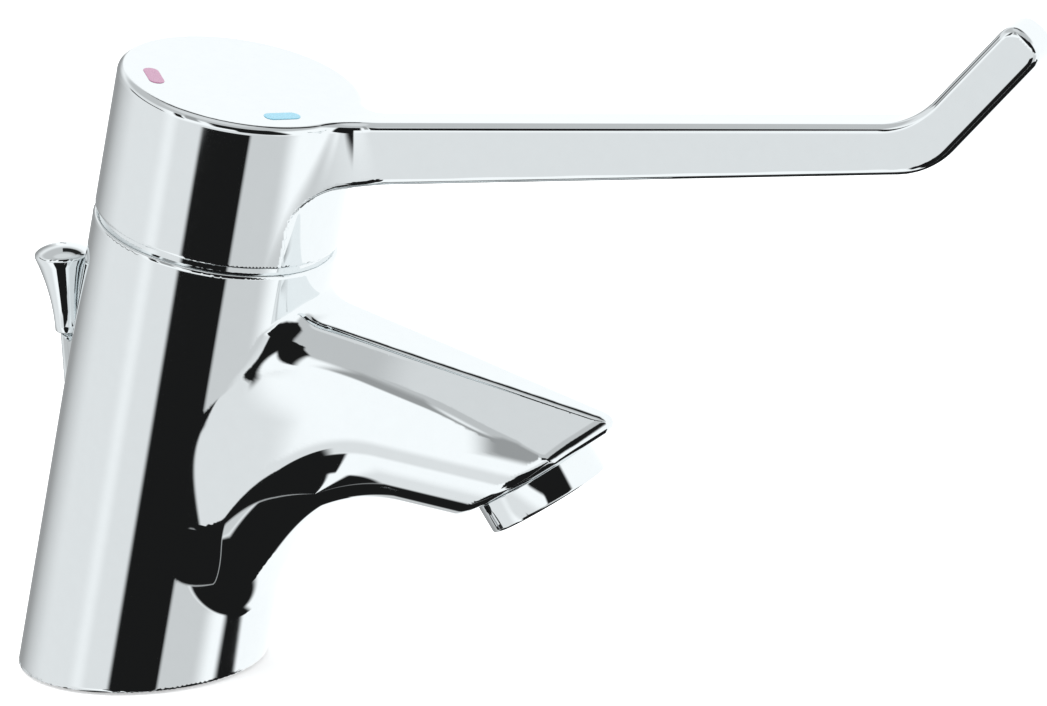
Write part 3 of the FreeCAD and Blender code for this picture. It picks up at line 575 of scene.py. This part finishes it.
def wear_group():
    """Shared finish detail: slow changes of polish and fine cleaning marks."""
    tree = bpy.data.node_groups.new("polish_wear", "ShaderNodeTree")
    for way, names in (("INPUT", ("Scale", "Low", "High")), ("OUTPUT", ("Roughness", "Height"))):
        for name in names:
            tree.interface.new_socket(name, in_out=way, socket_type="NodeSocketFloat")
    given = tree.nodes.new("NodeGroupInput").outputs
    result = tree.nodes.new("NodeGroupOutput").inputs
    place = tree.nodes.new("ShaderNodeTexCoord").outputs["Object"]
    slow = tree.nodes.new("ShaderNodeTexNoise")
    tree.links.new(place, slow.inputs["Vector"])
    tree.links.new(given["Scale"], slow.inputs["Scale"])
    fine = tree.nodes.new("ShaderNodeTexNoise")
    tree.links.new(place, fine.inputs["Vector"])
    tree.links.new(maths(tree, "MULTIPLY", given["Scale"], 9.0), fine.inputs["Scale"])
    mixed = maths(tree, "ADD", maths(tree, "MULTIPLY", slow.outputs[0], 0.7),
                  maths(tree, "MULTIPLY", fine.outputs[0], 0.3))
    rough = socket(tree, "ShaderNodeMapRange", mixed, 0.3, 0.7, given["Low"], given["High"])
    tree.links.new(rough.outputs[0], result["Roughness"])
    tree.links.new(fine.outputs[0], result["Height"])
    return tree


WEAR = wear_group()


def finish(name, colour, metal, low, high, grain, bump=0.0, coat=0.0):
    """A material with the shared wear, a colour that varies a little, and a fine bump."""
    material = bpy.data.materials.new(name)
    material.use_nodes = True
    tree = material.node_tree
    shader = tree.nodes["Principled BSDF"].inputs
    shader["Metallic"].default_value = metal
    shader["Coat Weight"].default_value = coat
    wear = tree.nodes.new("ShaderNodeGroup")
    wear.node_tree = WEAR
    wear.inputs["Scale"].default_value = grain
    wear.inputs["Low"].default_value = low
    wear.inputs["High"].default_value = high
    tree.links.new(wear.outputs["Roughness"], shader["Roughness"])
    tint = tree.nodes.new("ShaderNodeMix")
    tint.data_type = "RGBA"
    tint.inputs["A"].default_value = (*[c * 0.97 for c in colour], 1.0)
    tint.inputs["B"].default_value = (*colour, 1.0)
    tree.links.new(wear.outputs["Height"], tint.inputs["Factor"])
    tree.links.new(tint.outputs["Result"], shader["Base Color"])
    if bump > 0:
        relief = tree.nodes.new("ShaderNodeBump")
        relief.inputs["Strength"].default_value = bump
        relief.inputs["Distance"].default_value = 0.00005
        tree.links.new(wear.outputs["Height"], relief.inputs["Height"])
        tree.links.new(relief.outputs["Normal"], shader["Normal"])
    return material


# Each slot's finish: name, colour, metal, least and greatest roughness, and grain
chrome = finish("polished_chrome", (0.83, 0.86, 0.87), 1.0, 0.015, 0.045, 40.0)
finishes = {
    "chrome_finish": chrome,
    "red_inlay": finish("red_enamel", (0.42, 0.17, 0.30), 0.0, 0.15, 0.25, 300.0, coat=0.6),
    "blue_inlay": finish("blue_enamel", (0.20, 0.50, 0.64), 0.0, 0.15, 0.25, 300.0, coat=0.6),
    "grey_plastic": finish("grey_moulding", (0.18, 0.19, 0.21), 0.0, 0.4, 0.55, 500.0, bump=0.2),
    "white_plastic": finish("white_moulding", (0.72, 0.72, 0.69), 0.0, 0.35, 0.5, 500.0,
                            bump=0.2),
    "ceramic_disc": finish("lapped_ceramic", (0.84, 0.83, 0.78), 0.0, 0.08, 0.16, 400.0),
    "black_rubber": finish("soft_rubber", (0.015, 0.015, 0.015), 0.0, 0.6, 0.8, 700.0, bump=0.4),
    "plain_brass": finish("machined_brass", (0.68, 0.47, 0.20), 1.0, 0.2, 0.35, 600.0, bump=0.2),
    "bright_steel": finish("bright_steel", (0.52, 0.53, 0.55), 1.0, 0.22, 0.38, 600.0, bump=0.2),
}

for part in frame["record"]["subparts"]:
    node = frame["nodes"][part["node"]]
    node.data.materials.clear()
    node.data.materials.append(finishes[part["material_slot"]])

# The two castings
body_mesh = cast("body_casting", body_form, (-29, -28.5, -1.5), (118, 28.5, 108.5),
                 BODY_CELL, body_level)
shown("body_casting", body_mesh, chrome, "fixed_body", "body")
lever_mesh = cast("lever_casting", lever_form, (-3, -28, -37), (222, 28, 5),
                  LEVER_CELL, lever_level)
shown("lever_casting", lever_mesh, chrome, "lever", "lever_handle")

# Aerator's ring, turned from (radius, height, rounding) about the outlet's axis
outlet_place = Matrix.Translation(Vector((OUTLET[0] * MM, 0, OUTLET[1] * MM)))
outlet_place = outlet_place @ Matrix.Rotation(math.pi - OUTLET_TILT, 4, "Y")
ring = rounded([
    (10.6, -6.3, 0), (12.0, -6.3, 0.3), (12.0, 0.0, 0), (14.0, 0.0, 0.35), (14.0, 6.9, 0.7),
    (9.8, 6.9, 0.4), (9.8, 6.0, 0), (10.6, 6.0, 0),
])
shown("aerator_ring", lathe("aerator_ring", ring, 128, outlet_place), chrome, "fixed_body",
      "aerator_housing")

# Lift rod and its knob, whose side is a hollow curve from the foot to the rim
rod_place = Matrix.Translation(Vector((ROD_X * MM, 0, 0)))
knob = [(0.02, 84.0), (1.8, 84.0), (1.8, 74.2), (2.6, 74.2), (2.9, 74.5)]
knob += [(2.9 + 3.3 * t - 3.24 * t * (1 - t), 74.5 + 16.9 * t) for t in np.arange(1, 13) / 12]
knob += [(6.2, 91.9), (6.0, 92.3), (5.4, 92.8), (4.2, 93.4), (2.8, 93.85), (1.4, 94.1),
         (0.02, 94.2)]
shown("pull_knob", lathe("pull_knob", knob, 64, rod_place), chrome, "lift",
      "lift_knob")
bar = rounded([(0.02, -60.0, 0), (1.8, -60.0, 0.3), (1.8, 83.2, 0), (0.02, 83.2, 0)])
shown("pull_rod", lathe("pull_rod", bar, 48, rod_place), chrome, "lift",
      "lift_rod")


def inlay(name, side, slot, node, steps=16):
    """A lacquered bar with round ends, a hair proud of the cap's top."""
    loops = []
    for inset, height in ((0.0, -1.2), (0.0, 0.04), (0.06, 0.1), (0.3, 0.13)):
        radius = MARK_END_R - inset
        for end in (1, -1):
            for k in range(steps + 1):
                turn = -math.pi / 2 + math.pi * k / steps
                loops.append((end * (MARK_HALF + radius * math.cos(turn)),
                              end * radius * math.sin(turn), height))
    size = 2 * (steps + 1)
    faces = [list(range(size))[::-1], list(range(3 * size, 4 * size))]
    for low in range(0, 3 * size, size):
        for k in range(size):
            ahead = (k + 1) % size
            faces.append((low + k, low + ahead, low + size + ahead, low + size + k))
    mesh = bpy.data.meshes.new(name)
    mesh.from_pydata([(x * MM, y * MM, z * MM) for x, y, z in loops], [], faces)
    mesh.transform(Matrix.Rotation(LEAN, 4, "Y") @ Matrix.Rotation(side * MARK_TURN, 4, "Z")
                   @ Matrix.Translation(Vector((0, -MARK_RING_R * MM, CAP_TOP_H * MM))))
    mesh.update()
    shown(name, mesh, finishes[slot], "lever", node)


inlay("hot_inlay", -1, "red_inlay", "hot_mark")
inlay("cold_inlay", 1, "blue_inlay", "cold_mark")


def pale_floor(reach=6.0, depth=0.0005):
    """A large matt floor just under the base, in metres, which the chrome doesn't mirror."""
    mesh = bpy.data.meshes.new("floor")
    corners = [(-reach, -reach, -depth), (reach, -reach, -depth),
               (reach, reach, -depth), (-reach, reach, -depth)]
    mesh.from_pydata(corners, [], [(0, 1, 2, 3)])
    floor = bpy.data.objects.new("floor", mesh)
    bpy.context.scene.collection.objects.link(floor)
    paint = bpy.data.materials.new("pale_floor")
    paint.use_nodes = True
    shader = paint.node_tree.nodes["Principled BSDF"].inputs
    shader["Base Color"].default_value = (0.9, 0.9, 0.9, 1)
    shader["Roughness"].default_value = 0.8
    shader["Specular IOR Level"].default_value = 0.0
    shader["Emission Color"].default_value = (1, 1, 1, 1)
    shader["Emission Strength"].default_value = 0.5
    mesh.materials.append(paint)
    floor.visible_glossy = False


def studio():
    """A light tent: pale walls and floor, an overhead panel, and dark gaps between them."""
    world = bpy.data.worlds.new("studio")
    bpy.context.scene.world = world
    world.use_nodes = True
    tree = world.node_tree
    way = tree.nodes.new("ShaderNodeTexCoord").outputs["Generated"]
    split = socket(tree, "ShaderNodeSeparateXYZ", way).outputs
    azimuth = maths(tree, "DEGREES", maths(tree, "ARCTAN2", split[1], split[0]))

    # Directions in degrees: round the tent, up, and two that run aslant
    turn = maths(tree, "WRAP", maths(tree, "SUBTRACT", azimuth, -64.0), 180.0, -180.0)
    height = maths(tree, "DEGREES", maths(tree, "ARCSINE", split[2]))
    band = maths(tree, "ADD", height, maths(tree, "MULTIPLY", turn, 0.17))
    streak = maths(tree, "MULTIPLY", maths(tree, "ADD", turn, 94.0), 0.35)
    streak = maths(tree, "ADD", height, streak)

    # Panels and gaps, each laid over the ones before: its light, and its limits in one or two
    # directions. Four limits are start, low, high and end, two are start and end of a rise.
    gap = 0.012
    panels = (
        (0.9, (turn, -160, -120, -80, -60)),
        (0.88, (turn, -72, -58, 24, 36), (height, -30, -24, -14, -2)),
        (0.36, (turn, -179, -170, -158, -108), (height, -60, -30, 10, 40)),
        (0.62, (height, 30, 45)),
        (0.80, (height, 64, 74)),
        (0.38, (turn, -48, -44, -34, -28), (height, 10, 22, 50, 66)),
        (0.02, (turn, 110, 124, 190, 200), (height, 42, 46, 58, 64)),
        (0.02, (turn, -124, -114, -76, -70), (streak, 6, 8.5, 14.5, 17)),
        (gap, (turn, -60, -56, -50.5, -48), (height, 3, 7, 34, 42)),
        (gap, (turn, -24, -16, 4, 10), (height, 4, 8, 40, 46)),
        (0.72, (turn, 5, 8, 40, 62), (height, -45, -40, -26, -12)),
        (gap, (turn, -3, 1, 44, 52), (height, -12, -9, 40, 46)),
        (gap, (turn, -46, -44, -36, -34), (height, -60, -55, -29, -26)),
        (gap, (turn, -41, -36, 5, 9), (band, -200, -190, -25.5, -24.2)),
        (gap, (turn, 66, 76, 104, 114), (height, -91, -90, -37, -36)),
        (gap, (turn, 6, 9), (height, -91, -90, -46, -42)),
        (gap, (turn, -181, -180, -116, -106), (height, -91, -90, -50, -44)),
        (gap, (turn, -116, -106, -64, -56), (height, -91, -90, -64, -60)),
    )
    light = 1.15
    for value, *zones in panels:
        masks = [(rise if len(limits) == 2 else between)(tree, direction, *limits)
                 for direction, *limits in zones]
        mask = masks[0] if len(masks) == 1 else maths(tree, "MULTIPLY", *masks)
        light = socket(tree, "ShaderNodeMapRange", mask, 0.0, 1.0, light, value).outputs[0]
    glow = socket(tree, "ShaderNodeBackground", (0.97, 0.99, 1.0, 1.0), light)
    tree.links.new(glow.outputs[0], tree.nodes["World Output"].inputs["Surface"])


def overhead():
    """A soft sun that lights what isn't chrome."""
    data = bpy.data.lights.new("overhead", "SUN")
    data.energy = 2.4
    data.angle = math.radians(70)
    sun = bpy.data.objects.new("overhead", data)
    sun.visible_glossy = False
    bpy.context.scene.collection.objects.link(sun)


def camera():
    """The camera where the photograph was taken from, in metres."""
    data = bpy.data.cameras.new("camera")
    data.sensor_width = SENSOR
    data.lens = FOCAL_PIXELS * SENSOR / PHOTO_PIXELS
    eye = bpy.data.objects.new("camera", data)
    right = Vector((0.9222, 0.3822, -0.0582)).normalized()
    back = Vector((0.382, -0.8774, 0.2904)).normalized()
    above = back.cross(right).normalized()
    right = above.cross(back)
    turned = Matrix((right, above, back)).transposed().to_4x4()
    eye.matrix_world = Matrix.Translation(Vector((0.8359, -1.6989, 0.6381))) @ turned
    bpy.context.scene.collection.objects.link(eye)
    bpy.context.scene.camera = eye
    bpy.context.scene.view_settings.view_transform = "Standard"


pale_floor()
studio()
overhead()
camera()
